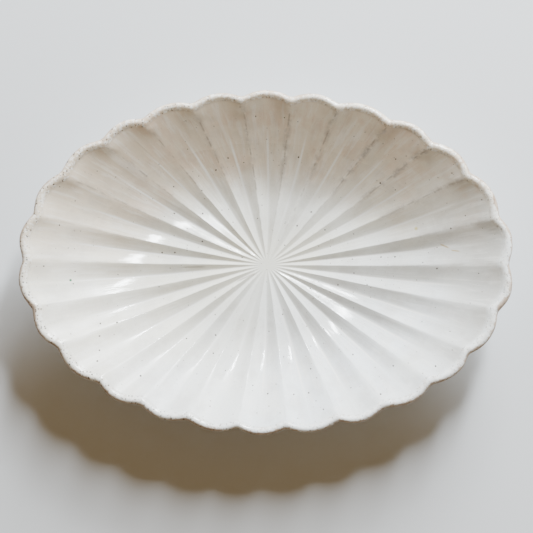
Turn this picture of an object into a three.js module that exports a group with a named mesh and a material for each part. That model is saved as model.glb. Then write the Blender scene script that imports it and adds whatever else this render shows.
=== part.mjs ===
// An oval china serving platter with a fluted well, built from the potter's own pieces:
// a press-moulded clay shell, a roll of clay along its edge, a foot ring under its floor,
// and the coats of white glaze over the well, over the outside and inside the foot.
// Millimetres, +Z up. X is the long axis. The origin is the centre of the foot's resting plane.
import * as THREE from "three";

// Driving dimensions
const OVAL_X = 210.5; // half length of the oval that the clay's edge follows, between lobe tip and notch
const OVAL_Y = 145; // half width of the same oval
const HEIGHT = 60; // from the table to the top of the glazed rim
const FLUTES = 26; // lobes round the edge, equal in length along the oval
const SCALLOP = 4.8; // how far a lobe's tip stands out from the notches beside it
const HUB_X = 12; // half length of the smooth patch that the flutes fan out from
const HUB_Y = 4; // half width of that patch
const PLEAT = 3.6; // deepest fold of the floor, from ridge to valley
const WALL = 4.5; // clay thickness of the flared wall
const FLOOR = 6; // clay thickness of the floor, halfway between ridge and valley
const ROLL_WIDTH = 7.2; // rim roll, across
const ROLL_HEIGHT = 2.4; // rim roll, above the shell's edge
const EDGE_DEPTH = 2; // depth of the clay shell's upright edge under the roll
const GLAZE = 0.6; // thickness of each coat of glaze
const FOOT_X = 91; // half length of the foot ring, outside
const FOOT_Y = 58; // half width of the foot ring, outside
const FOOT_WIDTH = 6.5; // foot ring, across at the top
const FOOT_HEIGHT = 6;
const FOOT_DRAFT = 0.6; // how much each side of the foot ring draws in towards the table
const FOOT_BEVEL = 1; // bevel along the bottom of the foot ring
const FOOT_SIDES = 52;

// Worked out from them
const EDGE_Z = HEIGHT - GLAZE - ROLL_HEIGHT; // flat top edge of the clay shell
const FLOOR_Z = FOOT_HEIGHT + FLOOR; // middle height of the well's floor

// Where things lie between the hub, at 0, and the wall's inner edge, at 1
const FLOOR_END = 0.33; // the floor starts to curve up
const WALL_START = 0.86; // the wall is straight from here
const FLAT_BASE = 0.43; // the underside is flat as far as here, and carries the foot
const WALL_BELOW = 0.62; // from here the underside runs parallel to the wall
const PLEAT_FULL = 0.48; // the folds are deepest from here
const PLEAT_FADE = 0.5; // to here, and fade up to the rim
const INSIDE = [0.14, 0.28, 0.42, 0.54, 0.66, 0.82]; // rings of points on the well
const OUTSIDE = [0.54, 0.66, 0.82, 1]; // rings of points on the underside
const GLAZE_TURN = 0.985; // the well's glaze turns up against the roll here

const smooth = (low, high, x) => THREE.MathUtils.smoothstep(x, low, high);

// The wall's slope as a share of its steepest, which rises quickly from the floor and then
// slowly, and the height climbed so far, which is the running sum of that share
const bent = (s) => THREE.MathUtils.clamp((s - FLOOR_END) / (WALL_START - FLOOR_END), 0, 1);
const slopeShare = (s) => 1 - (1 - bent(s)) ** 3 * (1 + 3 * bent(s));
const climb = (s) => {
  const left = 1 - bent(s);
  const curved = bent(s) - 0.4 + left ** 4 - 0.6 * left ** 5;
  return (WALL_START - FLOOR_END) * curved + Math.max(0, s - WALL_START);
};
const STEEPNESS = (EDGE_Z - FLOOR_Z) / climb(1);
const meanHeight = (s) => FLOOR_Z + STEEPNESS * climb(s);

// Depth of the folds: nothing at the hub, full over the floor's outer part, nothing at the rim
const pleatDepth = (s) => {
  const rise = 1 - (1 - Math.min(1, s / PLEAT_FULL)) ** 2;
  return PLEAT * rise * (1 - smooth(PLEAT_FADE, 1, s));
};

// The oval that the wall's inner edge follows
const rimBand = ROLL_WIDTH + GLAZE;
const oval = new THREE.EllipseCurve(0, 0, OVAL_X - rimBand, OVAL_Y - rimBand);
oval.arcLengthDivisions = 4000;

// The platter is shaped along spokes that run from the hub to the edge: one on each ridge,
// one in each valley and one on each slope between them
const STEPS = 4;
const AROUND = FLUTES * STEPS;
const MEAN_LOBE = 2 / Math.PI; // mean of a half sine wave

const spokes = Array.from({ length: AROUND }, (_, i) => {
  const at = oval.getPointAt(i / AROUND);
  const along = oval.getTangentAt(i / AROUND);
  const out = new THREE.Vector2(along.y, -along.x);
  const phase = (i % STEPS) / STEPS; // 0 on a ridge, 0.5 in a valley
  const lobe = SCALLOP * (Math.sin(Math.PI * phase) - MEAN_LOBE);
  const edge = at.clone().addScaledVector(out, lobe);
  const angle = Math.atan2(at.y / oval.yRadius, at.x / oval.xRadius);
  const hub = new THREE.Vector2(HUB_X * Math.cos(angle), HUB_Y * Math.sin(angle));
  const fold = Math.abs(2 * phase - 1) - 0.5; // half a pleat up on a ridge, half a pleat down in a valley
  return { edge, out, hub, fold, reach: edge.distanceTo(hub) };
});

// Each of these gives a point as a function of the spoke. The first is on the well's clay
// surface, or lifted square to it
const onWell = (s, lift = 0) => (spoke) => {
  const tilt = Math.atan((STEEPNESS * slopeShare(s)) / spoke.reach);
  const flat = spoke.hub.clone().lerp(spoke.edge, s).addScaledVector(spoke.out, -lift * Math.sin(tilt));
  const z = meanHeight(s) + lift * Math.cos(tilt) + spoke.fold * pleatDepth(s);
  return new THREE.Vector3(flat.x, flat.y, z);
};
// Underside of the shell: flat over the foot, then a wall's thickness below the well
const onUnderside = (s, below = 0) => (spoke) => {
  const wall = onWell(s, -WALL - below)(spoke);
  const base = spoke.hub.clone().lerp(spoke.edge, s);
  return new THREE.Vector3(base.x, base.y, FOOT_HEIGHT - below).lerp(wall, smooth(FLAT_BASE, WALL_BELOW, s));
};
// A point of the rim, out from the wall's inner edge at a given height
const onRim = (out, z) => (spoke) => {
  const flat = spoke.edge.clone().addScaledVector(spoke.out, out);
  return new THREE.Vector3(flat.x, flat.y, z);
};
const onAxis = (z) => () => new THREE.Vector3(0, 0, z);

// A lathe gives the faces between the spokes, and each of its points is then moved to its own
// place. The outline runs outwards below and back inwards above
function revolve(outline, around) {
  const blank = outline.map((_, j) => new THREE.Vector2(1, j));
  const shape = new THREE.LatheGeometry(blank, around.length);
  const place = shape.attributes.position;
  for (let i = 0; i <= around.length; i++) {
    outline.forEach((at, j) => {
      const p = at(around[i % around.length]);
      place.setXYZ(i * outline.length + j, p.x, p.y, p.z);
    });
  }
  matchDiagonals(shape, outline, around);
  shape.computeVertexNormals();
  return shape;
}

// The lathe splits each quad the same way along the outline. The stretches that run outwards
// are split the other way instead, so a coat's underside has the same facets as the clay below it
function matchDiagonals(shape, outline, around) {
  const radii = outline.map((at) => Math.hypot(at(around[0]).x, at(around[0]).y));
  const corners = shape.index.array;
  const stretches = outline.length - 1;
  for (let quad = 0; quad < around.length * stretches; quad++) {
    const j = quad % stretches;
    if (radii[j + 1] > radii[j]) {
      const [a, b, d, c] = corners.slice(6 * quad, 6 * quad + 4);
      corners.set([a, b, c, a, c, d], 6 * quad);
    }
  }
}

const china = (color, roughness) => new THREE.MeshStandardMaterial({ color, roughness, metalness: 0 });
const clay = china(0x8f7460, 0.85);
const whiteGlaze = china(0xe6e3da, 0.12);

function piece(name, outline, around, material) {
  const mesh = new THREE.Mesh(revolve(outline, around), material);
  mesh.name = name;
  return mesh;
}

const wellStops = [0, ...INSIDE, 1];
const underStops = [FLAT_BASE, ...OUTSIDE];

function clayShell() {
  const outline = [
    onAxis(FOOT_HEIGHT),
    ...underStops.map((s) => onUnderside(s)),
    onRim(ROLL_WIDTH, EDGE_Z - EDGE_DEPTH),
    onRim(ROLL_WIDTH, EDGE_Z),
    ...wellStops.map((s) => onWell(s)).reverse(),
    onAxis(FLOOR_Z),
  ];
  return piece("clay_shell", outline, spokes, clay);
}

// Section of the rim roll from outside to inside, as shares of its width and height
const rollSection = [
  [1, 0],
  [0.93, 0.55],
  [0.6, 1],
  [0.3, 0.94],
  [0.05, 0.5],
  [0.03, 0],
];
// A point of that section, or of the same section grown all round by a coat
const onRoll = ([across, up], coat = 0) => {
  const aside = coat * (2 * across - 1);
  return onRim(ROLL_WIDTH * across + aside, EDGE_Z + ROLL_HEIGHT * up + coat * Math.min(1, 2 * up));
};

function rimRoll() {
  const outline = rollSection.map((p) => onRoll(p));
  return piece("rim_roll", [...outline, outline[0]], spokes, clay);
}

// The well's coat laps over the roll and stops short of its outer edge
function wellGlaze() {
  const lapped = rollSection.slice(1);
  const outline = [
    onAxis(FLOOR_Z),
    ...wellStops.map((s) => onWell(s)),
    ...lapped.map((p) => onRoll(p)).reverse(),
    ...lapped.slice(0, -1).map((p) => onRoll(p, GLAZE)),
    onWell(GLAZE_TURN, GLAZE),
    ...wellStops.slice(0, -1).map((s) => onWell(s, GLAZE)).reverse(),
    onAxis(FLOOR_Z + GLAZE),
  ];
  return piece("well_glaze", outline, spokes, whiteGlaze);
}

// The outside coat runs from the foot up to the rim roll
function outsideGlaze() {
  const outline = [
    ...underStops.map((s) => onUnderside(s, GLAZE)),
    onRim(ROLL_WIDTH + GLAZE, EDGE_Z - EDGE_DEPTH),
    onRim(ROLL_WIDTH + GLAZE, EDGE_Z),
    onRim(ROLL_WIDTH, EDGE_Z),
    onRim(ROLL_WIDTH, EDGE_Z - EDGE_DEPTH),
    ...underStops.map((s) => onUnderside(s)).reverse(),
  ];
  return piece("outside_glaze", [...outline, outline[0]], spokes, whiteGlaze);
}

// The foot's own spokes, and a point on one of them, in from the foot's outer edge
const footSpokes = Array.from({ length: FOOT_SIDES }, (_, i) => {
  const angle = (2 * Math.PI * i) / FOOT_SIDES;
  return new THREE.Vector2(Math.cos(angle), Math.sin(angle));
});
const onFoot = (inset, z) => (spoke) => new THREE.Vector3(
  (FOOT_X - inset) * spoke.x,
  (FOOT_Y - inset) * spoke.y,
  z,
);

function footRing() {
  const outline = [
    onFoot(FOOT_DRAFT + FOOT_BEVEL, 0),
    onFoot(FOOT_DRAFT, FOOT_BEVEL),
    onFoot(0, FOOT_HEIGHT),
    onFoot(FOOT_WIDTH, FOOT_HEIGHT),
    onFoot(FOOT_WIDTH - FOOT_DRAFT, FOOT_BEVEL),
    onFoot(FOOT_WIDTH - FOOT_DRAFT - FOOT_BEVEL, 0),
  ];
  return piece("foot_ring", [...outline, outline[0]], footSpokes, clay);
}

// The coat inside the foot ring
function baseGlaze() {
  const outline = [
    onAxis(FOOT_HEIGHT - GLAZE),
    onFoot(FOOT_WIDTH + GLAZE, FOOT_HEIGHT - GLAZE),
    onFoot(FOOT_WIDTH + GLAZE, FOOT_HEIGHT),
    onAxis(FOOT_HEIGHT),
  ];
  return piece("base_glaze", outline, footSpokes, whiteGlaze);
}

const platter = new THREE.Group();
platter.add(clayShell(), rimRoll(), footRing(), wellGlaze(), outsideGlaze(), baseGlaze());
export default platter;
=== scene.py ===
import bisect
import math

import bmesh
import bpy
from mathutils import Matrix, Vector, noise


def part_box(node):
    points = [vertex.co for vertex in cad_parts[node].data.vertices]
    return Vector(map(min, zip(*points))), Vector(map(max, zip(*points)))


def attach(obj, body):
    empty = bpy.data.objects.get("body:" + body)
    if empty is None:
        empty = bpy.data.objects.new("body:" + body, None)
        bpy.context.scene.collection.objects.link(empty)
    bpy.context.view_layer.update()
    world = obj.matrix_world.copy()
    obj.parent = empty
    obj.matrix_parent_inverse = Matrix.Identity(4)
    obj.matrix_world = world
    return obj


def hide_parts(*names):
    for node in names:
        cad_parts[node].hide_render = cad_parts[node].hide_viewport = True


# A hand-pressed oval serving platter: brown clay with a fluted well, a rolled rim and a foot ring,
# under coats of milky white glaze. Shape settings are in millimetres, the scene is in metres.

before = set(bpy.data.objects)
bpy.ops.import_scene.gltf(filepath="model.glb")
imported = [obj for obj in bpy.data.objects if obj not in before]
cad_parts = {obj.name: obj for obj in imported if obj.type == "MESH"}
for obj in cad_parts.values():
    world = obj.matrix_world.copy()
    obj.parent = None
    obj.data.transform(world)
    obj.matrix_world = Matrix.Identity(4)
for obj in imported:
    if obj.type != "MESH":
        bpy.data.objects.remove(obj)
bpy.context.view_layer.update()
mm = 0.001


def lowest(node):
    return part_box(node)[0] / mm


def highest(node):
    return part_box(node)[1] / mm


# how the clay was shaped
mould = {
    "flutes": 26,
    "outerScallop": 4.6,  # lobe tip to notch, along the outer edge
    "innerScallop": 5.2,  # the same along the inner edge of the lip
    "wallScallop": 3.8,  # and on the wall below it, in front
    "wallScallopBack": 1.1,
    "lipAtSides": 6.0,  # width of the lip at the long sides
    "lipAtEnds": 7.4,
    "notchRound": 0.16,  # how blunt the notches are, in half flutes
    "wallNotchRound": 0.20,
    "lobeTip": 1.75,  # how far a lobe's tip stands outside the mean oval
    "longer": 1.1,  # the long axis ends in notches, so the mean oval is longer by this
    "narrower": 0.45,  # the short axis ends in lobes, and this leaves room for the glaze on them
    "lipUneven": 0.12,  # how much the lip's width varies, as a share
    "lipWave": 0.2,  # how much its height does
    "lipPits": 0.1,
    "nicks": 0.25,  # how far inwards the lines round the rim waver
    "wallThickness": 4.5,
    "floorThickness": 6.0,
    "underFrom": 0.42,  # the underside leaves the foot here, from the middle 0 to the edge 1
    "glazeThickness": 0.6,
    "fanLength": 9.0,  # on the wall the flutes aim this far to either side of the middle
    "fanWidth": 2.5,
    "fanStraight": 0.38,  # and are straight from here, from the middle 0 to the lip 1
    "smoothPatch": 0.035,  # no flutes inside this
    "floorEnd": 0.33,  # where the floor starts to curve up
    "wallStart": 0.86,  # where the wall is straight
    "pleatDepth": 3.9,
    "pleatFull": 0.50,
    "pleatFade": 0.58,  # they die out from here in front
    "pleatFadeBack": 0.38,  # and from here at the back
    "pleatFadeOver": 0.36,  # over this much of the way
    "roundFrom": 0.62,  # sharp pleats turn to round flutes between these
    "roundTo": 0.86,
    "crestRound": 1.9,  # how far the ridges and the valleys are rounded over
    "valleyRound": 1.5,
    "facetHollow": 0.30,  # how hollow the pleats' faces are
    "handWobble": 0.10,  # unevenness of the flutes' widths, in flutes
    "handDepth": 0.16,  # and of their depths
    "crowding": 0.72,  # how much the spokes gather at the ridges and in the valleys
    "sag": 0.45,  # slow unevenness of the surface
    "sagSize": 70.0,
    "ripple": 0.09,  # finger ripples
    "rippleSize": 15.0,
}

shellBottom = lowest("clay_shell").z
floorTop = shellBottom + mould["floorThickness"]
lipFoot = lowest("rim_roll").z  # top of the wall, where the lip starts
spare = 0.05  # keeps the uneven surface inside the design's box
lipTop = highest("well_glaze").z - spare
outerX = highest("outside_glaze").x - 3 * spare
outerY = highest("outside_glaze").y - 3 * spare
footEdge = highest("foot_ring")


def smooth(low, high, x):
    t = min(1.0, max(0.0, (x - low) / (high - low)))
    return t * t * (3 - 2 * t)


def blend(a, b, t):
    return a + (b - a) * t


def softCorner(x, softness):
    # rounds the corner of abs(x), and keeps 0 at 0 and 1 at 1
    return (math.hypot(x, softness) - softness) / (math.hypot(1, softness) - softness)


def ovalWalk(halfX, halfY, steps=6000):
    # running length round an oval, to share it out in equal flutes
    lengths = [0.0]
    last = (halfX, 0.0)
    for i in range(1, steps + 1):
        angle = 2 * math.pi * i / steps
        here = (halfX * math.cos(angle), halfY * math.sin(angle))
        lengths.append(lengths[-1] + math.dist(last, here))
        last = here
    return lengths


meanX = outerX - mould["lobeTip"] + mould["longer"]
meanY = outerY - mould["lobeTip"] - mould["narrower"]
walked = ovalWalk(meanX, meanY)


class Spoke:
    # one line on the platter from the hub to the edge

    def __init__(self, turn, perFlute):
        flute, step = divmod(turn, perFlute)
        even = step / perFlute
        phase = even - mould["crowding"] * math.sin(4 * math.pi * even) / (4 * math.pi)
        around = (flute + phase) / mould["flutes"]
        direction = Vector((math.cos(2 * math.pi * around), math.sin(2 * math.pi * around), 0))
        wobble = noise.noise(direction * 5 + Vector((3.1, 0, 7.7)))
        length = (around + wobble * mould["handWobble"] / mould["flutes"]) * walked[-1] % walked[-1]
        after = bisect.bisect_right(walked, length)
        before = after - 1
        part = (length - walked[before]) / (walked[after] - walked[before])
        angle = 2 * math.pi * (before + part) / (len(walked) - 1)
        self.cos, self.sin = math.cos(angle), math.sin(angle)
        self.out = Vector((self.cos / meanX, self.sin / meanY, 0)).normalized()
        self.mean = Vector((meanX * self.cos, meanY * self.sin, 0))
        self.fromRidge = 1 - abs(2 * phase - 1)  # 0 on a ridge, 1 in a valley
        self.halfFlute = walked[-1] / mould["flutes"] / 2
        self.depth = 1 + mould["handDepth"] * noise.noise(direction * 7 + Vector((0, 9.3, 1.2)))
        self.lobeDepth = 1 + 0.5 * mould["handDepth"] * noise.noise(direction * 6 + Vector((6.6, 2.0, 5.0)))
        self.lipWidth = blend(mould["lipAtSides"], mould["lipAtEnds"], self.cos * self.cos)
        self.lipWidth *= 1 + mould["lipUneven"] * noise.noise(direction * 4 + Vector((1.0, 5.0, 2.0)))
        self.nick = mould["nicks"] * min(0, noise.noise(self.mean / 5) + noise.noise(self.mean / 2.2))
        self.fan = Vector((mould["fanLength"] * self.cos, mould["fanWidth"] * self.sin, 0))
        self.foot = Vector((footEdge.x * self.cos, footEdge.y * self.sin, 0))
        self.inner = self.edge(mould["innerScallop"], mould["notchRound"], self.lipWidth)
        behind = smooth(0.1, 0.8, self.sin)  # 1 at the back of the platter
        self.fadeStart = blend(mould["pleatFade"], mould["pleatFadeBack"], behind)
        wallScallop = blend(mould["wallScallop"], mould["wallScallopBack"], behind)
        self.wallTop = self.edge(wallScallop, mould["wallNotchRound"], self.lipWidth)
        self.reach = (self.wallTop - self.fan).length

    def edge(self, scallop, softness, inset):
        # a point of a scalloped line round the platter, in plan
        gap = softCorner(self.fromRidge, softness)
        back = (1 - gap) ** 2 * scallop * self.lobeDepth
        return self.mean + self.out * (mould["lobeTip"] + self.nick - back - inset)

    def rim(self, across):
        # a point of the lip in plan, from its inner edge 0 to its outer edge 1
        scallop = blend(mould["innerScallop"], mould["outerScallop"], across)
        return self.edge(scallop, mould["notchRound"], self.lipWidth * (1 - across))

    def plan(self, s):
        # a point of the well in plan, from the middle 0 to the lip 1
        straight = smooth(-0.15, mould["fanStraight"], s)
        top = self.wallTop.lerp(self.inner, smooth(0.9, 1, s))
        return self.fan * (straight * (1 - s) * min(1, s / 0.1)) + top * s


def bend(s):
    # 0 on the floor, quickly rising to 1 where the wall is straight
    t = min(1.0, max(0.0, (s - mould["floorEnd"]) / (mould["wallStart"] - mould["floorEnd"])))
    return 1 - (1 - t) ** 3 * (1 + 3 * t)


def climb(s):
    # the running sum of bend
    span = mould["wallStart"] - mould["floorEnd"]
    t = min(1.0, max(0.0, (s - mould["floorEnd"]) / span))
    return span * (t - 0.4 + (1 - t) ** 4 - 0.6 * (1 - t) ** 5) + max(0.0, s - mould["wallStart"])


steepness = (lipFoot - floorTop) / climb(1)


def fold(spoke, s):
    # height of the pleats over the middle surface: sharp inside, round towards the rim
    m = mould
    risen = min(1, max(0, s - m["smoothPatch"]) / m["pleatFull"])
    depth = m["pleatDepth"] * spoke.depth * (1 - (1 - risen) ** 2)
    depth *= 1 - smooth(spoke.fadeStart, spoke.fadeStart + m["pleatFadeOver"], s)
    turned = smooth(m["roundFrom"], m["roundTo"], s)
    halfFlute = max(4.0, spoke.halfFlute * s)
    crest = 1 - softCorner(spoke.fromRidge, m["crestRound"] / halfFlute)
    fromValley = 1 - spoke.fromRidge
    sharp = (crest + softCorner(fromValley, m["valleyRound"] / halfFlute)) / 2
    sharp -= m["facetHollow"] * fromValley * spoke.fromRidge * (1 - turned)
    shape = blend(sharp, crest * crest, turned)
    return depth * (shape - 0.5)


def handmade(point):
    # the slow sag and the ripples that fingers and drying leave
    sag = noise.noise(point / mould["sagSize"] + Vector((5.0, 2.0, 0.0)))
    ripple = noise.noise(point / mould["rippleSize"] + Vector((0.0, 4.0, 8.0)))
    return mould["sag"] * sag + mould["ripple"] * ripple


def wellPoint(spoke, s, lift):
    # on the clay of the well, or lifted square off it
    slope = bend(s) * steepness / spoke.reach
    tilt = math.atan(slope)
    flat = spoke.plan(s) - spoke.out * lift * math.sin(tilt)
    z = floorTop + steepness * climb(s) + fold(spoke, s) + lift * math.cos(tilt)
    z += handmade(Vector((flat.x, flat.y, 0))) * smooth(0, 0.3, s) * smooth(1.0, 0.9, s)
    return Vector((flat.x, flat.y, z))


# section of the lip from its inner edge over the top to the outer edge: across and up, as shares
lipSection = [(0, 0), (0.1, 0.24), (0.24, 0.58), (0.4, 0.87), (0.56, 1), (0.72, 0.95), (0.86, 0.7),
              (0.96, 0.3), (1, -0.2), (0.985, -0.8)]


def lipCurve(t):
    # smooth curve through the section's points, t from 0 to 1
    place = t * (len(lipSection) - 1)
    i = min(len(lipSection) - 2, int(place))
    f = place - i
    p = [Vector(lipSection[min(len(lipSection) - 1, max(0, k))]) for k in (i - 1, i, i + 1, i + 2)]
    here = 2 * p[1] + (p[2] - p[0]) * f
    here += (2 * p[0] - 5 * p[1] + 4 * p[2] - p[3]) * f ** 2
    here += (3 * p[1] - p[0] - 3 * p[2] + p[3]) * f ** 3
    return here / 2


def lipPoint(spoke, t, lift):
    across, up = lipCurve(t)
    ahead = lipCurve(min(1, t + 0.02)) - lipCurve(max(0, t - 0.02))
    height = lipTop - mould["glazeThickness"] - lipFoot
    run, rise = ahead.x * spoke.lipWidth, ahead.y * height
    size = math.hypot(run, rise)
    flat = spoke.rim(across) - spoke.out * lift * rise / size
    wave = mould["lipWave"] * noise.noise(Vector((flat.x, flat.y, 40)) / 14)
    wave += mould["lipPits"] * noise.noise(Vector((flat.x, flat.y, 9)) / 4.5)
    wave -= 0.6 * mould["lipWave"]  # so that few crests reach the top
    z = lipFoot + up * height + lift * run / size + wave * smooth(0.0, 0.5, up)
    return Vector((flat.x, flat.y, min(z, lipTop)))


def undersidePoint(spoke, t, lift):
    # from the foot 0 to the edge 1, level by the foot and then a wall's thickness below the well
    s = blend(mould["underFrom"], 1, t)
    wall = wellPoint(spoke, s, -mould["wallThickness"] - lift)
    base = spoke.foot.lerp(spoke.wallTop, t)
    base.z = shellBottom - lift
    return base.lerp(wall, smooth(0.0, 0.3, t))


print("platter: moulds ready, lip from", round(lipFoot, 2), "to", round(lipTop, 2))


def pressBlank(name, outline, place, perFlute, closed=True):
    # spins an outline of (station, lift) points, then presses each point of the blank to its place
    bm = bmesh.new()
    verts = [bm.verts.new((station, 0, lift)) for station, lift in outline]
    edges = [bm.edges.new(pair) for pair in zip(verts, verts[1:])]
    if closed:
        edges.append(bm.edges.new((verts[-1], verts[0])))
    count = mould["flutes"] * perFlute
    bmesh.ops.spin(bm, geom=verts + edges, cent=(0, 0, 0), axis=(0, 0, 1), angle=2 * math.pi,
                   steps=count, use_merge=True, use_duplicate=False)
    bmesh.ops.remove_doubles(bm, verts=bm.verts, dist=1e-5)
    bmesh.ops.recalc_face_normals(bm, faces=bm.faces)
    spokes = [Spoke(turn, perFlute) for turn in range(count)]
    alongLayer = bm.verts.layers.float.new("alongFlute")
    acrossLayer = bm.verts.layers.float.new("fromRidge")
    for vert in bm.verts:
        turn = round(math.atan2(vert.co.y, vert.co.x) / (2 * math.pi) * count) % count
        station, lift = math.hypot(vert.co.x, vert.co.y), vert.co.z
        vert[alongLayer] = station
        vert[acrossLayer] = spokes[turn].fromRidge
        vert.co = place(spokes[turn], station, lift) * mm
    return finishPiece(name, bm)


def finishPiece(name, bm):
    for face in bm.faces:
        face.smooth = True
    mesh = bpy.data.meshes.new(name)
    bm.to_mesh(mesh)
    bm.free()
    piece = bpy.data.objects.new(name, mesh)
    bpy.context.scene.collection.objects.link(piece)
    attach(piece, "root")
    print("platter:", name, len(mesh.polygons), "faces")
    return piece


def spread(start, end, count):
    return [blend(start, end, i / (count - 1)) for i in range(count)]


def topPlace(spoke, station, lift):
    # stations 0 to 1 are the well, 1 to 2 the lip
    if station <= 1:
        return wellPoint(spoke, station, lift)
    return lipPoint(spoke, station - 1, lift)


coat = {
    "under": 0.05,  # the coat's back lies this far off the clay
    "wellRings": 84,
    "lipRings": 22,
    "lipEnd": 1.84,  # where the coat stops on the outer edge of the lip
    "waver": 0.03,
    "lipBackRings": 10,
    "wellBackRings": 22,
    "perFlute": 24,
}


def wellCoatPlace(spoke, station, lift):
    # the last stations waver, because the glaze was wiped off the edge by hand
    if station > 1.5:
        edge = spoke.mean
        waver = noise.noise(Vector((edge.x, edge.y, 11)) / 7) + 0.6 * noise.noise(edge / 2.6)
        station += coat["waver"] * waver * smooth(1.6, coat["lipEnd"], station)
    return topPlace(spoke, station, lift)


def makeWellGlaze():
    face = spread(0, 0.985, coat["wellRings"]) + spread(1.0, coat["lipEnd"], coat["lipRings"])
    back = spread(coat["lipEnd"], 1.0, coat["lipBackRings"]) + spread(0.97, 0, coat["wellBackRings"])
    outline = [(station, mould["glazeThickness"]) for station in face]
    outline += [(station, coat["under"]) for station in back]
    piece = pressBlank("wellGlaze", outline, wellCoatPlace, coat["perFlute"], closed=False)
    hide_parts("well_glaze")
    return piece


roll = {
    "rings": 24,
    "perFlute": 12,
}


def makeRimRoll():
    section = [(station, 0.0) for station in spread(1.0, 2.0, roll["rings"])]
    piece = pressBlank("rimRoll", section, topPlace, roll["perFlute"])
    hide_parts("rim_roll")
    return piece


shell = {
    "topRings": 50,
    "bottomRings": 40,
    "perFlute": 10,
}


def shellPlace(spoke, station, lift):
    # lift only tells the top of the shell, 0, from its bottom, -1
    if lift >= 0:
        return topPlace(spoke, min(station, 1.0), 0.0)
    start = mould["underFrom"]
    if station < start:
        flat = spoke.foot * (station / start)
        return Vector((flat.x, flat.y, shellBottom))
    return undersidePoint(spoke, (station - start) / (1 - start), 0)


def makeClayShell():
    outline = [(station, 0.0) for station in spread(0, 1.0, shell["topRings"])]
    outline += [(station, -1.0) for station in spread(1.0, 0, shell["bottomRings"])]
    piece = pressBlank("clayShell", outline, shellPlace, shell["perFlute"], closed=False)
    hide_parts("clay_shell")
    return piece


skin = {
    "rings": 56,
    "edgeRings": 6,
    "backRings": 20,
    "perFlute": 16,
    "offAxis": 0.01,  # keeps the blank's first ring off the axis
    "bead": 0.5,  # how much thicker the coat stops at the foot
}


def skinPlace(spoke, station, lift):
    # stations 0 to 1 run from the foot to the edge, 1 to 2 up the outer edge
    station = max(0, station - skin["offAxis"])
    if station <= 1:
        thick = lift * (1 + skin["bead"] * smooth(0.05, 0.0, station))
        return undersidePoint(spoke, 0.006 + 0.994 * station, thick)
    top = lipPoint(spoke, 0.985, 0)
    start = undersidePoint(spoke, 1, lift)
    end = top + spoke.out * (lift - 0.1)
    return start.lerp(end, station - 1)


def makeOutsideGlaze():
    face = spread(0, 1, skin["rings"]) + spread(1.15, 2, skin["edgeRings"])
    back = spread(2, 1.2, 3) + spread(1, 0, skin["backRings"])
    outline = [(station + skin["offAxis"], mould["glazeThickness"]) for station in face]
    outline += [(station + skin["offAxis"], coat["under"]) for station in back]
    piece = pressBlank("outsideGlaze", outline, skinPlace, skin["perFlute"])
    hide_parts("outside_glaze")
    return piece


foot = {
    "width": 6.5,
    "draft": 0.6,
    "edgeRound": 1.1,
    "edgeSteps": 5,
    "sides": 240,
    "worn": 0.22,
    "chipped": 0.1,
}


def makeFootRing():
    bm = bmesh.new()
    top, width, draft = footEdge.z, foot["width"], foot["draft"]
    section = [(0, top), (draft, 0), (width - draft, 0), (width, top)]
    verts = [bm.verts.new((footEdge.x - inset, 0, z)) for inset, z in section]
    edges = [bm.edges.new((verts[i], verts[(i + 1) % 4])) for i in range(4)]
    bmesh.ops.spin(bm, geom=verts + edges, cent=(0, 0, 0), axis=(0, 0, 1), angle=2 * math.pi,
                   steps=foot["sides"], use_merge=True, use_duplicate=False)
    bmesh.ops.recalc_face_normals(bm, faces=bm.faces)
    toe = [e for e in bm.edges if all(abs(v.co.z) < 0.01 for v in e.verts)
           and abs(e.verts[0].co.length - e.verts[1].co.length) < 0.5]
    bmesh.ops.bevel(bm, geom=toe, offset=foot["edgeRound"], segments=foot["edgeSteps"], profile=0.5,
                    affect="EDGES", material=-1)
    for vert in bm.verts:
        radius = math.hypot(vert.co.x, vert.co.y)
        cos, sin = vert.co.x / radius, vert.co.y / radius
        worn = foot["worn"] * noise.noise(vert.co / 9) + foot["chipped"] * noise.noise(vert.co / 2.5)
        worn *= smooth(0, 2, vert.co.z) * smooth(top, top - 1, vert.co.z)
        inset = footEdge.x - radius + worn
        vert.co = Vector(((footEdge.x - inset) * cos, (footEdge.y - inset) * sin, vert.co.z)) * mm
    piece = finishPiece("footRing", bm)
    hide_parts("foot_ring")
    return piece


base = {
    "gap": 0.25,  # to the foot ring
    "dips": 0.15,
    "rings": 12,
    "sides": 160,
    # from the middle 0 to the edge 1, and how far below the shell: it thickens to a bead at the edge
    "section": [(0, 0.6), (0.9, 0.6), (0.97, 0.58), (0.985, 0.85), (0.997, 0.9), (1, 0.7), (1, 0.02),
                (0, 0.02)],
}


def makeBaseGlaze():
    bm = bmesh.new()
    edge = foot["width"] + base["gap"]
    verts = [bm.verts.new((part, 0, footEdge.z - below)) for part, below in base["section"]]
    edges = [bm.edges.new(pair) for pair in zip(verts, verts[1:])]
    bmesh.ops.subdivide_edges(bm, edges=edges[:1] + edges[-1:], cuts=base["rings"])
    bmesh.ops.spin(bm, geom=list(bm.verts) + list(bm.edges), cent=(0, 0, 0), axis=(0, 0, 1),
                   angle=2 * math.pi, steps=base["sides"], use_merge=True, use_duplicate=False)
    bmesh.ops.remove_doubles(bm, verts=bm.verts, dist=1e-5)
    bmesh.ops.recalc_face_normals(bm, faces=bm.faces)
    for vert in bm.verts:
        x, y = vert.co.x * (footEdge.x - edge), vert.co.y * (footEdge.y - edge)
        dip = base["dips"] * noise.noise(Vector((x, y, 3)) / 25)
        dip *= smooth(0.1, 0.5, footEdge.z - vert.co.z)
        vert.co = Vector((x, y, vert.co.z + dip)) * mm
    piece = finishPiece("baseGlaze", bm)
    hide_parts("base_glaze")
    return piece


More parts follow.
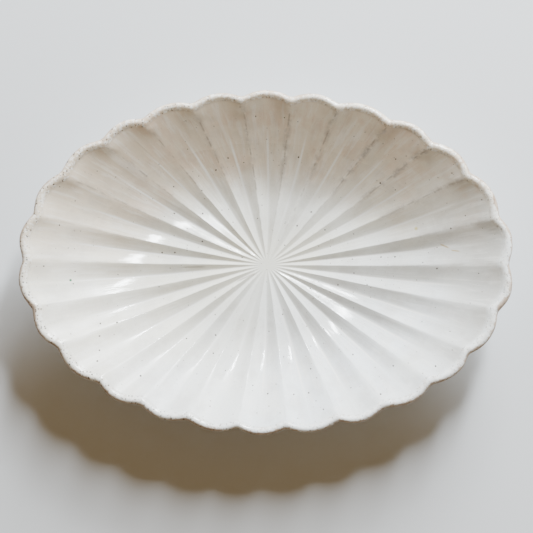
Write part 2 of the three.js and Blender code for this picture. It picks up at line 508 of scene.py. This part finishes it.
class Wire:
    # a node's output that can stand in an ordinary sum

    def __init__(self, finish, socket):
        self.finish, self.socket = finish, socket

    def maths(self, operation, *values):
        return self.finish.add("ShaderNodeMath", {"operation": operation}, dict(enumerate(values)))

    def __add__(self, other):
        return self.maths("ADD", self, other)

    def __sub__(self, other):
        return self.maths("SUBTRACT", self, other)

    def __rsub__(self, other):
        return self.maths("SUBTRACT", other, self)

    def __mul__(self, other):
        return self.maths("MULTIPLY", self, other)

    def __truediv__(self, other):
        return self.maths("DIVIDE", self, other)

    def __lt__(self, other):
        return self.maths("LESS_THAN", self, other)

    def __abs__(self):
        return self.maths("ABSOLUTE", self)

    __radd__ = __add__
    __rmul__ = __mul__

    def ramp(self, low, high):
        # 0 at low and 1 at high, with soft ends
        return self.finish.add("ShaderNodeMapRange", {"interpolation_type": "SMOOTHSTEP"},
                               {"Value": self, "From Min": low, "From Max": high})

    def either(self, other):
        return self.maths("MAXIMUM", self, other)


class Finish:
    # a material being built

    def __init__(self, name):
        self.material = bpy.data.materials.new(name)
        self.material.use_nodes = True
        self.tree = self.material.node_tree
        self.shader = self.tree.nodes["Principled BSDF"]

    def add(self, kind, settings=None, sockets=None, output=0):
        node = self.tree.nodes.new(kind)
        for key, value in (settings or {}).items():
            setattr(node, key, value)
        for key, value in (sockets or {}).items():
            self.plug(node.inputs[key], value)
        return Wire(self, node.outputs[output])

    def plug(self, socket, value):
        if isinstance(value, Wire):
            self.tree.links.new(value.socket, socket)
        elif isinstance(value, tuple) and len(value) == 3 and socket.type == "RGBA":
            socket.default_value = (*value, 1)
        else:
            socket.default_value = value

    def place(self):
        return self.add("ShaderNodeTexCoord", output="Object")

    def apart(self, place):
        # how far along and across the platter a place is, in millimetres
        metres = self.add("ShaderNodeSeparateXYZ", None, {0: place})
        outputs = metres.socket.node.outputs
        return [Wire(self, outputs[axis]) / mm for axis in "XY"]

    def vector(self, operation, *values, **sockets):
        inputs = dict(enumerate(values)) | sockets
        output = "Value" if operation == "DISTANCE" else 0
        return self.add("ShaderNodeVectorMath", {"operation": operation}, inputs, output)

    def alongRays(self, place, along, stretch=30.0):
        # a place that changes quickly round the platter and slowly from the middle to the edge
        ray = self.vector("NORMALIZE", self.vector("MULTIPLY", place, (1.0, meanX / meanY, 0.0)))
        ring = self.vector("SCALE", ray, Scale=(meanX + meanY) / 2 * mm)
        rise = self.add("ShaderNodeCombineXYZ", None, {"Z": along * (stretch * mm)})
        return self.vector("ADD", ring, rise)

    def spot(self, x, y, radius, soft=0.5):
        # 1 inside a round spot, all in millimetres
        flat = self.vector("MULTIPLY", self.place(), (1.0, 1.0, 0.0))
        away = self.vector("DISTANCE", flat, (x * mm, y * mm, 0.0))
        return 1 - away.ramp(radius * (1 - soft) * mm, radius * mm)

    def scratch(self, start, end, width):
        # 1 along a thin straight mark from start to end, all in millimetres
        x, y = self.apart(self.place())
        length = math.dist(start, end)
        runX, runY = (end[0] - start[0]) / length, (end[1] - start[1]) / length
        ahead = (x - start[0]) * runX + (y - start[1]) * runY
        aside = (x - start[0]) * runY - (y - start[1]) * runX
        ends = ahead.ramp(0, length / 4) * (1 - ahead.ramp(length * 0.7, length))
        return ends * (1 - abs(aside).ramp(width * 0.3, width))

    def attribute(self, name):
        return self.add("ShaderNodeAttribute", {"attribute_name": name}, output="Fac")

    def grain(self, place, size, detail=2.0, rough=0.5, warp=0.0):
        # noise with features about size millimetres across, from 0 to 1
        return self.add("ShaderNodeTexNoise", None,
                        {"Vector": place, "Scale": 1 / (size * mm), "Detail": detail, "Roughness": rough,
                         "Distortion": warp})

    def dots(self, place, spacing, radius, share, aside=0.0):
        # ragged spots of a radius in millimetres, in that share of the cells
        shift = self.vector("ADD", place, (aside, aside * 0.7, 0.0))
        ragged = {"Vector": place, "Scale": 1 / (radius * 1.6 * mm)}
        ragged = self.add("ShaderNodeTexNoise", None, ragged, "Color")
        moved = self.vector("MULTIPLY_ADD", ragged, (radius * 1.1 * mm,) * 3, shift)
        cell = {"voronoi_dimensions": "2D"}
        sockets = {"Vector": moved, "Scale": 1 / (spacing * mm)}
        near = self.add("ShaderNodeTexVoronoi", cell, sockets, "Distance")
        tint = self.add("ShaderNodeTexVoronoi", cell, sockets, "Color")
        lot = self.add("ShaderNodeSeparateColor", None, {"Color": tint}, "Red")
        sizeLot = self.add("ShaderNodeSeparateColor", None, {"Color": tint}, "Green")
        reach = (sizeLot * 0.7 + 0.5) * (radius / spacing)
        return (1 - (near / reach).ramp(0.55, 1.0)) * (lot < share)

    def mix(self, amount, low, high):
        return self.add("ShaderNodeMix", {"data_type": "RGBA"}, {0: amount, 6: low, 7: high}, 2)

    def bump(self, height):
        # height in millimetres
        return self.add("ShaderNodeBump", None, {"Height": height, "Distance": mm, "Strength": 1.0})

    def finish(self, **sockets):
        for name, value in sockets.items():
            self.plug(self.shader.inputs[name.replace("_", " ")], value)
        return self.material


glaze = {
    "white": (0.835, 0.82, 0.725),
    # cool tone, also used as painted cool light on the front of the well
    "coolToneAndLight": (0.76, 0.80, 0.825),
    # pooled glaze, also used as painted highlights in the well
    "pooledAndHighlight": (0.90, 0.89, 0.85),
    # warm glaze tone, also used as painted shade of the back wall
    "toastAndShade": (0.74, 0.63, 0.485),
    # painted shade at the right end
    "paintedShadeRight": (0.50, 0.485, 0.445),
    # painted shade
    "paintedShade": (0.60, 0.51, 0.40),
    "blush": (0.64, 0.46, 0.33),
    # smoky glaze, also used as painted shade
    "smokeAndShade": (0.36, 0.315, 0.28),
    "thin": (0.25, 0.205, 0.17),
    "tan": (0.48, 0.375, 0.285),
    "brown": (0.27, 0.175, 0.115),
    "iron": (0.045, 0.03, 0.022),
    "green": (0.03, 0.16, 0.08),
    "yellow": (0.62, 0.52, 0.16),
    "ochre": (0.50, 0.36, 0.16),
    "roughness": 0.09,
}


class OnWell:
    # where a point of the well or the lip is, and masks from 0 to 1 for its regions

    halfFlute = 21.0  # half the width of a flute at the rim, in millimetres

    def __init__(self, f):
        self.place = f.place()
        self.x, self.y = f.apart(self.place)
        self.along = f.attribute("alongFlute")
        self.across = f.attribute("fromRidge")
        self.rays = f.alongRays(self.place, self.along)
        self.inWell = 1 - self.along.ramp(0.985, 1.01)
        self.onWall = self.along.ramp(0.36, 0.66)
        self.onLip = self.along.ramp(1.0, 1.05)
        self.back = self.y.ramp(5, 95)
        self.front = 1 - (self.y - self.x * 0.4).ramp(-110, 20)
        self.left = 1 - self.x.ramp(-150, 20)
        self.fromRidge = self.across * self.along * self.halfFlute  # millimetres
        self.fromValley = (1 - self.across) * self.along * self.halfFlute
        self.mottle = f.grain(self.place, 3.4, 5, 0.7)
        self.worn = f.grain(self.place, 19, 3, 0.6).ramp(0.35, 0.65)


def milkyBody(f, at):
    # slow clouds; cooler in front as painted cool light; warmer and darker at the back, partly glaze tone
    # and partly painted shade; more painted shade at the back left and at the right end
    clouds = f.grain(at.place, 60, 3, 0.5).ramp(0.35, 0.65)
    # cooler in front: painted cool light on the front wall, over slow clouds of cool tone
    colour = f.mix(clouds * 0.35 + at.front * 0.6, glaze["white"], glaze["coolToneAndLight"])
    # warmer and darker at the back and towards the left: partly the glaze's own tone, partly painted shade
    # of the back wall
    uneven = f.grain(at.place, 50, 3, 0.6).ramp(0.3, 0.7) * 0.3 + at.left * 0.3 + 0.55
    toastAndShade = at.back.either(at.left * at.y.ramp(-60, 60) * 0.8).either(at.left * 0.2) * uneven
    colour = f.mix(toastAndShade * at.onWall, colour, glaze["toastAndShade"])
    # painted shade, darker still on the upper wall at the back left
    colour = f.mix(at.back * at.left * at.along.ramp(0.5, 0.8) * 0.65, colour, glaze["paintedShade"])
    # painted shade on the wall at the right end
    return f.mix(at.x.ramp(125, 200) * at.onWall * at.inWell * 0.8, colour, glaze["paintedShadeRight"])


def blushes(f, at, colour):
    # clay showing through in patches and thin streaks, mostly at the back, and pale streaks that paint
    # highlights along the flutes
    patches = f.grain(at.place, 34, 4, 0.6, 0.5).ramp(0.46, 0.64)
    colour = f.mix(patches * at.onWall * (at.back * 0.36 + 0.05), colour, glaze["blush"])
    streaks = f.grain(at.rays, 3.2, 3, 0.55).ramp(0.52, 0.66)
    colour = f.mix(streaks * at.onWall * (at.back * 0.26 + 0.02) * at.inWell, colour, glaze["blush"])
    # painted highlight: pale streaks along the flutes over the middle of the well
    pale = f.grain(at.rays, 4.5, 3, 0.6, 0.3).ramp(0.50, 0.64) * at.along.ramp(0.1, 0.4)
    return f.mix(pale * at.inWell * 0.30, colour, glaze["pooledAndHighlight"])


def ridgesAndValleys(f, at, colour):
    # the valleys are whiter, partly pooled glaze and partly painted highlight; the glaze runs thin and
    # smoky over the ridges, and painted shade darkens the front between the valleys
    # whiter valley lines: pooled glaze and a painted highlight
    valleyPoolAndHighlight = (1 - at.fromValley.ramp(0.2, 1.3)) * at.along.ramp(0.15, 0.4) * (1 - at.along.ramp(0.7, 0.85))
    colour = f.mix(valleyPoolAndHighlight * 0.8, colour, glaze["pooledAndHighlight"])

    smudges = f.grain(at.place, 13, 4, 0.62, 0.4).ramp(0.38, 0.60)
    dirty = f.grain(at.place, 2.4, 4, 0.7).ramp(0.30, 0.70) * 0.5 + 0.5
    backRight = at.back * (at.x + at.y * 0.3).ramp(-60, 60)
    rightSide = at.x.ramp(30, 120) * at.y.ramp(-20, 20)
    haze = (1 - at.fromRidge.ramp(0.8, 4.6)) * at.along.ramp(0.42, 0.6) * at.inWell
    haze = haze * (at.back * 0.30 + backRight * 0.42 + rightSide * 0.3 + 0.05)
    colour = f.mix(haze * smudges * dirty, colour, glaze["smokeAndShade"])

    line = (1 - at.fromRidge.ramp(0.1, 1.2)) * at.along.ramp(0.07, 0.2) * at.inWell
    line = line * f.grain(at.place, 10, 3, 0.6).ramp(0.44, 0.60)
    colour = f.mix(line * (at.back * 0.5 + 0.14), colour, glaze["thin"])

    slopes = abs(at.across - 0.5).ramp(0.5, 0.2) * at.along.ramp(0.1, 0.3) * at.inWell
    smoky = f.grain(at.place, 22, 4, 0.65).ramp(0.42, 0.64)
    colour = f.mix(slopes * smoky * 0.2, colour, glaze["smokeAndShade"])
    # painted shade: the front of the well's middle ring made darker away from the valleys
    ring = at.along.ramp(0.16, 0.36) * (1 - at.along.ramp(0.5, 0.72))
    paintedFrontShade = at.front * ring * (at.fromValley.ramp(0.6, 2.2) * 0.7 + 0.3)
    return f.mix(paintedFrontShade * 0.13, colour, glaze["smokeAndShade"])


def mottledLip(f, at, colour, outer):
    # mottled white and tan on its crown; smoky inside, as thinner glaze with painted shade that is stronger
    # at the back; brown on the outer edge where the glaze thins, with painted shade adding more of it in
    # front
    tan = at.onLip * at.mottle.ramp(0.46, 0.60) * (at.worn * 0.35 + 0.2)
    colour = f.mix(tan, colour, glaze["tan"])
    white = f.grain(at.place, 2.6, 3, 0.6, 0.4).ramp(0.48, 0.58)
    colour = f.mix(at.onLip * white * 0.75, colour, glaze["pooledAndHighlight"])
    # smoky band inside the lip: thinner glaze, and painted shade stronger at the back
    inner = at.along.ramp(0.985, 1.02) * (1 - at.along.ramp(1.10, 1.25))
    inner = inner * f.grain(at.place, 9, 4, 0.65).ramp(0.40, 0.62)
    colour = f.mix(inner * (at.back * 0.3 + 0.2), colour, glaze["smokeAndShade"])
    return f.mix(outer * 0.9, colour, f.mix(at.mottle.ramp(0.35, 0.6), glaze["brown"], glaze["tan"]))


def strayMarks(f, colour):
    # two grooves by the middle, a green and a yellow speck, and two ochre marks
    groove = f.scratch((-9.0, -6.5), (-28.0, -15.5), 0.9)
    groove = groove.either(f.scratch((-52.0, -2.0), (-78.0, -2.6), 0.7))
    colour = f.mix(groove * 0.6, colour, glaze["thin"])
    colour = f.mix(f.spot(-168, -16, 1.3), colour, glaze["green"])
    colour = f.mix(f.spot(129, 31.5, 2.2, 0.8) * 0.8, colour, glaze["yellow"])
    ochre = f.scratch((149, 18), (158, 14), 0.9).either(f.scratch((158, 12.5), (167, 11), 0.8))
    return f.mix(ochre * 0.8, colour, glaze["ochre"])


def wellFinish():
    f = Finish("milkyGlazeInWell")
    at = OnWell(f)
    rubbed = f.spot(201, -33, 11, 0.8).either(f.spot(197, 52, 9, 0.8)).either(f.spot(-196, -41, 11, 0.8))
    # the glaze thins to brown at the outer edge; less of it at the back and more in front, which partly
    # paints the shade of the lip's outer side
    thinning = at.mottle * 0.75 + at.worn * 0.16 + rubbed * at.onLip * 0.24 - at.back * 0.08
    outer = (at.along + thinning).ramp(2.0, 2.14)

    # pinholes that show dark, in two crowds and loosely everywhere, and iron specks on the lip
    crowd = f.spot(-33, -74, 14).either(f.spot(-14, -108, 9))
    crowd = crowd.either(f.grain(at.place, 30, 2).ramp(0.58, 0.70) * 0.4)
    pins = f.dots(at.place, 12.0, 0.80, 0.20, 0.07) * at.inWell
    faint = f.dots(at.place, 5.0, 0.62, 0.055 + crowd * 0.25, 0.31) * at.inWell
    fine = f.dots(at.place, 3.0, 0.45, 0.07, 0.11) * at.inWell
    lipSpecks = f.dots(at.place, 2.8, 0.85, 0.5, 0.17) * at.onLip
    lipSpecks = lipSpecks * at.mottle.ramp(0.40, 0.50) * (1 - at.x.ramp(-150, 40) * 0.5)

    colour = ridgesAndValleys(f, at, blushes(f, at, milkyBody(f, at)))
    colour = mottledLip(f, at, colour, outer)
    colour = f.mix((faint * 0.75).either(fine * 0.35), colour, glaze["thin"])
    colour = f.mix(pins.either(lipSpecks * 0.85), colour, glaze["iron"])
    colour = strayMarks(f, colour)
    sandy = f.grain(at.place, 1.6, 3, 0.7).ramp(0.42, 0.66)
    colour = f.mix(sandy * 0.05, colour, glaze["thin"])

    satin = at.along.ramp(0.66, 0.80) * at.inWell * 0.24 + f.grain(at.place, 25, 3) * 0.05
    rough = glaze["roughness"] + satin + pins * 0.5 + outer * 0.4 + at.onLip * at.mottle * 0.1

    # soft dimples all over, and long brushed hollows that run with the flutes
    soft = f.grain(at.place, 11, 2) * 0.10 + f.grain(at.place, 2.6, 3, 0.6) * 0.022
    brushed = f.grain(at.rays, 9.0, 2) * 0.14 + f.grain(at.rays, 4.5, 3, 0.6) * 0.17
    brushed = brushed * at.along.ramp(0.08, 0.4) * (1 - at.along.ramp(0.6, 0.85) * 0.6) * at.inWell
    pits = pins.either(lipSpecks).either(faint * 0.6) * 0.15
    normal = f.bump(soft + brushed - pits + at.onLip * at.mottle * 0.16)
    return f.finish(Base_Color=colour, Roughness=rough, Normal=normal, IOR=1.5)


def outsideFinish():
    f = Finish("milkyGlazeOutside")
    place = f.place()
    along = f.attribute("alongFlute")
    across = f.attribute("fromRidge")
    clouds = f.grain(place, 45, 3, 0.5)
    colour = f.mix(clouds.ramp(0.3, 0.7), glaze["coolToneAndLight"], glaze["white"])
    patches = f.grain(place, 30, 3, 0.6, 0.8).ramp(0.5, 0.75)
    colour = f.mix(patches * 0.3, colour, glaze["blush"])
    fromRib = (1 - across) * 14.0  # millimetres, the well's valleys being ribs outside
    rib = (1 - fromRib.ramp(0.4, 2.4)) * along.ramp(0.3, 0.6)
    colour = f.mix(rib * f.grain(place, 15, 3).ramp(0.4, 0.65) * 0.4, colour, glaze["thin"])
    ragged = f.grain(place, 5, 4, 0.65)
    ends = (1 - (along + ragged * 0.03).ramp(0.015, 0.055)).either((along - ragged * 0.3).ramp(1.3, 1.75))
    colour = f.mix(ends * 0.9, colour, glaze["brown"])
    pins = f.dots(place, 11.0, 0.6, 0.1, 0.5)
    colour = f.mix(pins, colour, glaze["iron"])
    normal = f.bump(f.grain(place, 10, 2) * 0.07 + f.grain(place, 2.2, 2) * 0.01 - pins * 0.12)
    rough = glaze["roughness"] + 0.03 + f.grain(place, 25, 3) * 0.08 + ends * 0.35
    return f.finish(Base_Color=colour, Roughness=rough, Normal=normal, IOR=1.5)


def baseFinish():
    f = Finish("milkyGlazeUnderFoot")
    place = f.place()
    colour = f.mix(f.grain(place, 40, 3).ramp(0.3, 0.7), glaze["coolToneAndLight"], glaze["white"])
    colour = f.mix(f.grain(place, 22, 4, 0.6, 0.8).ramp(0.52, 0.74) * 0.35, colour, glaze["blush"])
    pins = f.dots(place, 9.0, 0.6, 0.14, 0.23)
    colour = f.mix(pins, colour, glaze["iron"])
    normal = f.bump(f.grain(place, 10, 2) * 0.08 - pins * 0.12)
    rough = glaze["roughness"] + 0.05 + f.grain(place, 20, 3) * 0.1
    return f.finish(Base_Color=colour, Roughness=rough, Normal=normal, IOR=1.5)


clay = {
    "dark": (0.115, 0.065, 0.042),
    "mid": (0.25, 0.155, 0.105),
    "pale": (0.42, 0.31, 0.235),
    "wash": (0.62, 0.56, 0.49),
}


def clayFinish():
    f = Finish("bareBrownClay")
    place = f.place()
    patches = f.grain(place, 14, 4, 0.6)
    colour = f.mix(patches.ramp(0.35, 0.7), clay["mid"], clay["pale"])
    grit = f.grain(place, 0.9, 3, 0.7)
    colour = f.mix(grit.ramp(0.56, 0.72) * 0.6, colour, clay["dark"])
    smear = f.grain(place, 6, 4, 0.65).ramp(0.50, 0.66)
    colour = f.mix(smear * 0.5, colour, clay["wash"])
    sand = f.dots(place, 1.7, 0.3, 0.35)
    colour = f.mix(sand * 0.5, colour, clay["dark"])
    normal = f.bump(grit * 0.10 + patches * 0.08 - sand * 0.08)
    rough = 0.78 + grit * 0.16 - smear * 0.3
    return f.finish(Base_Color=colour, Roughness=rough, Normal=normal)


def dress(piece, material):
    piece.data.materials.clear()
    piece.data.materials.append(material)


bareClay = clayFinish()
dress(makeClayShell(), bareClay)
dress(makeRimRoll(), bareClay)
dress(makeFootRing(), bareClay)
dress(makeWellGlaze(), wellFinish())
dress(makeOutsideGlaze(), outsideFinish())
dress(makeBaseGlaze(), baseFinish())
print("platter: pieces made and glazed")

studio = {
    "floorSize": 20.0,
    "floorTone": (0.60, 0.615, 0.635),
    "ambient": 0.285,
    "ambientTint": (1.0, 0.70, 0.36),
    "lampDistance": 2.4,
}

# tilt is in degrees off overhead, turn is round the platter, 90 being the back
lamps = {
    "lowWindow": {"tilt": 68, "turn": 75, "wide": 1.0, "tall": 0.8, "power": 152,
                  "tint": (0.90, 0.96, 1.0), "mirrored": False},
    "highWindow": {"tilt": 52, "turn": 67, "wide": 0.28, "tall": 0.9, "power": 138,
                   "tint": (0.90, 0.96, 1.0), "mirrored": True},
}


def aim(spot, target, right):
    # a matrix at spot that looks at target, with its own X axis along right
    forward = (target - spot).normalized()
    side = (right - forward * right.dot(forward)).normalized()
    up = side.cross(forward)
    turn = Matrix((side, up, -forward)).transposed().to_4x4()
    return Matrix.Translation(spot) @ turn


def makeFloor():
    bm = bmesh.new()
    bmesh.ops.create_grid(bm, x_segments=8, y_segments=8, size=studio["floorSize"] / 2)
    mesh = bpy.data.meshes.new("floor")
    bm.to_mesh(mesh)
    bm.free()
    floor = bpy.data.objects.new("floor", mesh)
    bpy.context.scene.collection.objects.link(floor)
    f = Finish("paleFloor")
    tone = f.grain(f.place(), 400, 3)
    pale = f.mix(tone, studio["floorTone"], tuple(min(1, c * 1.05) for c in studio["floorTone"]))
    dress(floor, f.finish(Base_Color=pale, Roughness=0.8))


def makeLamp(name, lamp):
    tilt, turn = math.radians(lamp["tilt"]), math.radians(lamp["turn"])
    way = Vector((math.sin(tilt) * math.cos(turn), math.sin(tilt) * math.sin(turn), math.cos(tilt)))
    light = bpy.data.lights.new(name, "AREA")
    light.shape = "RECTANGLE"
    light.size = lamp["wide"]
    light.size_y = lamp["tall"]
    light.energy = lamp["power"]
    light.color = lamp["tint"]
    window = bpy.data.objects.new(name, light)
    window.visible_glossy = lamp["mirrored"]  # the broad one lights softly without a reflection
    platterMiddle = Vector((0, 0, lipTop / 2 * mm))
    window.matrix_world = aim(way * studio["lampDistance"], platterMiddle, Vector((1, 0, 0)))
    bpy.context.scene.collection.objects.link(window)


def makeRoom():
    world = bpy.data.worlds.new("softRoom")
    world.use_nodes = True
    back = world.node_tree.nodes["Background"]
    back.inputs["Color"].default_value = (*studio["ambientTint"], 1)
    back.inputs["Strength"].default_value = studio["ambient"]
    bpy.context.scene.world = world


view = {
    "distance": 1.7,
    "tiltFront": 3.4,  # degrees off overhead, towards the front
    "tiltRight": 3.6,  # and towards the right
    "roll": 0.4,
    "width": 0.4515,  # how wide a strip shows at the height of the rim, in metres
    "aimX": 2.4,
    "aimY": -4.2,
    "sensor": 36,
}


def makeCamera():
    target = Vector((view["aimX"], view["aimY"], highest("well_glaze").z)) * mm
    right, front = math.radians(view["tiltRight"]), math.radians(view["tiltFront"])
    way = Vector((math.tan(right), -math.tan(front), 1))
    lens = bpy.data.cameras.new("camera")
    lens.sensor_width = view["sensor"]
    lens.lens = view["sensor"] * view["distance"] / view["width"]
    lens.clip_end = 50
    camera = bpy.data.objects.new("camera", lens)
    roll = math.radians(view["roll"])
    side = Vector((math.cos(roll), math.sin(roll), 0))
    camera.matrix_world = aim(target + way.normalized() * view["distance"], target, side)
    bpy.context.scene.collection.objects.link(camera)
    bpy.context.scene.camera = camera


makeFloor()
for name, lamp in lamps.items():
    makeLamp(name, lamp)
makeRoom()
makeCamera()
print("platter: studio ready")
